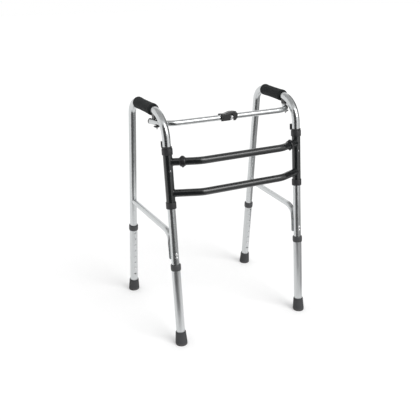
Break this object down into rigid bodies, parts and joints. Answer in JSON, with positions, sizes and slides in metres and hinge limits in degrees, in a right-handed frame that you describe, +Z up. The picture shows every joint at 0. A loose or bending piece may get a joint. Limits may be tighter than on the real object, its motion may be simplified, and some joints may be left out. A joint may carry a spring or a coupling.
{
  "type": "walking frame",
  "caption": "Folding walking frame with turning side frames, foam grips, a latched top bar and legs that lengthen by snap buttons.",
  "frame": {"origin": "centre of the footprint on the floor", "axes": "+X along the front frame, +Y back towards the user, +Z up"},
  "size_m": [0.5378, 0.4557, 0.7751],
  "materials": {
    "alloy": "bright anodised",
    "black_paint": "gloss",
    "steel": "plated",
    "rubber": "matte",
    "foam": "matte foam",
    "grey_plastic": "satin",
    "black_plastic": "satin",
    "gloss_black": "gloss"
  },
  "bodies": {
    "front_frame": {"left_sleeve": "black_paint", "right_sleeve": "black_paint", "upper_front_bar": "black_paint", "lower_front_bar": "black_paint", "left_top_bush": "black_plastic", "right_top_bush": "black_plastic", "left_bottom_bush": "black_plastic", "right_bottom_bush": "black_plastic", "left_bar_collar": "black_plastic", "right_bar_collar": "black_plastic", "left_sleeve_rivet": "steel", "right_sleeve_rivet": "steel"},
    "left_side": {"left_side_tube": "alloy", "left_brace": "alloy", "left_grip": "foam", "left_bracket": "black_plastic", "left_bracket_bolt": "steel", "left_bracket_nut": "black_plastic", "left_sleeve_stop": "black_plastic", "left_upper_rivet": "steel", "left_lower_rivet": "steel"},
    "left_bar": {"left_bar_tube": "alloy", "left_bar_plug": "black_plastic", "latch_pivot_pin": "steel"},
    "left_front_leg": {"left_front_leg_tube": "alloy", "left_front_collar": "grey_plastic", "left_front_tip": "rubber"},
    "left_front_button_press": {"left_front_button": "steel"},
    "left_rear_leg": {"left_rear_leg_tube": "alloy", "left_rear_collar": "grey_plastic", "left_rear_tip": "rubber"},
    "left_rear_button_press": {"left_rear_button": "steel"},
    "right_side": {"right_side_tube": "alloy", "right_brace": "alloy", "right_grip": "foam", "right_bracket": "black_plastic", "right_bracket_bolt": "steel", "right_bracket_nut": "black_plastic", "right_sleeve_stop": "black_plastic", "right_upper_rivet": "steel", "right_lower_rivet": "steel"},
    "right_bar": {"right_bar_tube": "alloy", "right_bar_plug": "black_plastic", "catch_pin": "steel"},
    "right_front_leg": {"right_front_leg_tube": "alloy", "right_front_collar": "grey_plastic", "right_front_tip": "rubber"},
    "right_front_button_press": {"right_front_button": "steel"},
    "right_rear_leg": {"right_rear_leg_tube": "alloy", "right_rear_collar": "grey_plastic", "right_rear_tip": "rubber"},
    "right_rear_button_press": {"right_rear_button": "steel"},
    "latch": {"latch_lever": "gloss_black"}
  },
  "joints": [
    {"name": "left_fold", "type": "hinge", "parent": "front_frame", "child": "left_side", "pos_m": [-0.236, -0.1414, 0.56], "axis": [0, -0.1191, -0.9929], "range_deg": [-15.33, 92]},
    {"name": "left_bar_swing", "type": "hinge", "parent": "left_side", "child": "left_bar", "pos_m": [-0.23798, -0.05873, 0.71593], "axis": [0, 0.1191, 0.9929], "range_deg": [-15, 90]},
    {"name": "left_front_leg_slide", "type": "slide", "parent": "left_side", "child": "left_front_leg", "axis": [0, 0.1191, 0.9929], "range_m": [-0.1524, 0]},
    {"name": "left_front_button_push", "type": "slide", "parent": "left_side", "child": "left_front_button_press", "axis": [0.0314, -0.9924, 0.1191], "range_m": [0, 0.0035], "stiffness_N_per_m": 1500},
    {"name": "left_rear_leg_slide", "type": "slide", "parent": "left_side", "child": "left_rear_leg", "axis": [0.0067, -0.0946, 0.9955], "range_m": [-0.1524, 0]},
    {"name": "left_rear_button_push", "type": "slide", "parent": "left_side", "child": "left_rear_button_press", "axis": [-0.0307, 0.995, 0.0947], "range_m": [0, 0.0035], "stiffness_N_per_m": 1500},
    {"name": "right_fold", "type": "hinge", "parent": "front_frame", "child": "right_side", "pos_m": [0.236, -0.1414, 0.56], "axis": [0, 0.1191, 0.9929], "range_deg": [-14, 70]},
    {"name": "right_bar_swing", "type": "hinge", "parent": "right_side", "child": "right_bar", "pos_m": [0.23798, -0.05873, 0.71593], "axis": [0, -0.1191, -0.9929], "range_deg": [-15, 90]},
    {"name": "right_front_leg_slide", "type": "slide", "parent": "right_side", "child": "right_front_leg", "axis": [0, 0.1191, 0.9929], "range_m": [-0.1524, 0]},
    {"name": "right_front_button_push", "type": "slide", "parent": "right_side", "child": "right_front_button_press", "axis": [-0.0314, -0.9924, 0.1191], "range_m": [0, 0.0035], "stiffness_N_per_m": 1500},
    {"name": "right_rear_leg_slide", "type": "slide", "parent": "right_side", "child": "right_rear_leg", "axis": [-0.0067, -0.0946, 0.9955], "range_m": [-0.1524, 0]},
    {"name": "right_rear_button_push", "type": "slide", "parent": "right_side", "child": "right_rear_button_press", "axis": [0.0307, 0.995, 0.0947], "range_m": [0, 0.0035], "stiffness_N_per_m": 1500},
    {"name": "latch_lift", "type": "hinge", "parent": "left_bar", "child": "latch", "pos_m": [-0.0315, -0.09448, 0.72022], "axis": [0, -0.9929, 0.1191], "range_deg": [0, 40]}
  ]
}
